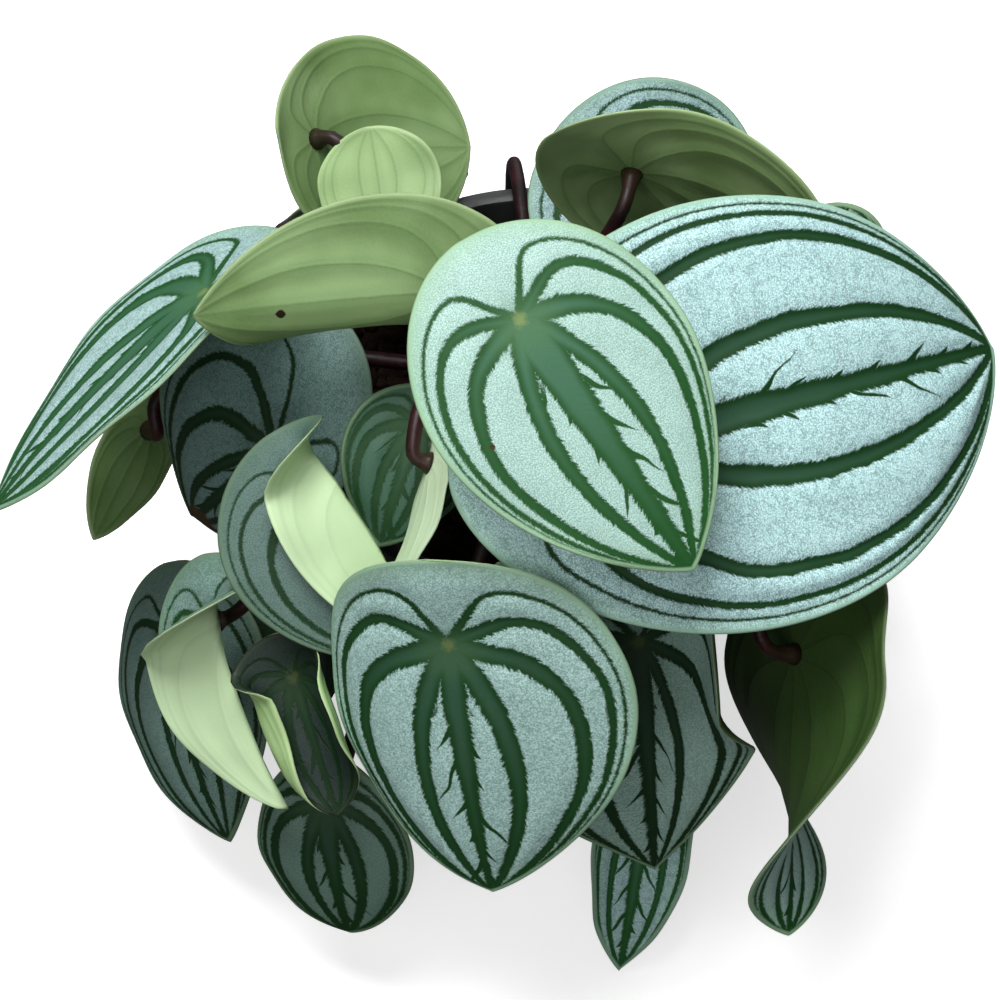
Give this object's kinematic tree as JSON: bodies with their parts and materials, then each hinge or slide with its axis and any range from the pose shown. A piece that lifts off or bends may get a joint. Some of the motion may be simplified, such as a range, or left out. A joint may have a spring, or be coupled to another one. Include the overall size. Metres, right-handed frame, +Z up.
{
  "type": "potted peperomia",
  "caption": "Potted watermelon peperomia: a bushy rosette of silver and green striped shield-shaped leaves on maroon stalks, in a plain black nursery pot.",
  "frame": {"origin": "centre of the pot's underside", "axes": "+Z up; the plant's fullest side, which the picture shows, looks towards -Y; +X is to the right of that view"},
  "size_m": [0.225, 0.2081, 0.1965],
  "materials": {
    "pot_plastic": "matt",
    "potting_soil": "matt, crumbly",
    "stalk_skin": "satin",
    "leaf_skin": "satin, silver and green striped"
  },
  "bodies": {
    "root": {"pot": "pot_plastic", "soil": "potting_soil", "crown": "stalk_skin", "leaf_centre": "leaf_skin", "leaf_right": "leaf_skin", "leaf_front": "leaf_skin", "leaf_front_right": "leaf_skin", "leaf_low_right": "leaf_skin", "leaf_low_front": "leaf_skin", "leaf_low_left": "leaf_skin", "leaf_left_turned": "leaf_skin", "leaf_rolled": "leaf_skin", "leaf_folded": "leaf_skin", "leaf_left_inner": "leaf_skin", "leaf_left_long": "leaf_skin", "leaf_left_under": "leaf_skin", "leaf_back_flipped": "leaf_skin", "leaf_back_small": "leaf_skin", "leaf_back_left": "leaf_skin", "leaf_back_right_turned": "leaf_skin", "leaf_back_right": "leaf_skin", "leaf_right_hanging": "leaf_skin", "leaf_young_ridged": "leaf_skin", "leaf_young_pale": "leaf_skin", "leaf_rear_high": "leaf_skin", "leaf_rear_high_right": "leaf_skin", "leaf_rear_left": "leaf_skin", "leaf_rear_right": "leaf_skin", "leaf_rear_middle": "leaf_skin", "leaf_rear_low_right": "leaf_skin", "leaf_rear_low_left": "leaf_skin", "leaf_right_side": "leaf_skin", "leaf_right_low": "leaf_skin", "leaf_left_side": "leaf_skin", "leaf_left_low": "leaf_skin", "leaf_right_tip": "leaf_skin", "leaf_left_deep": "leaf_skin"}
  },
  "joints": []
}
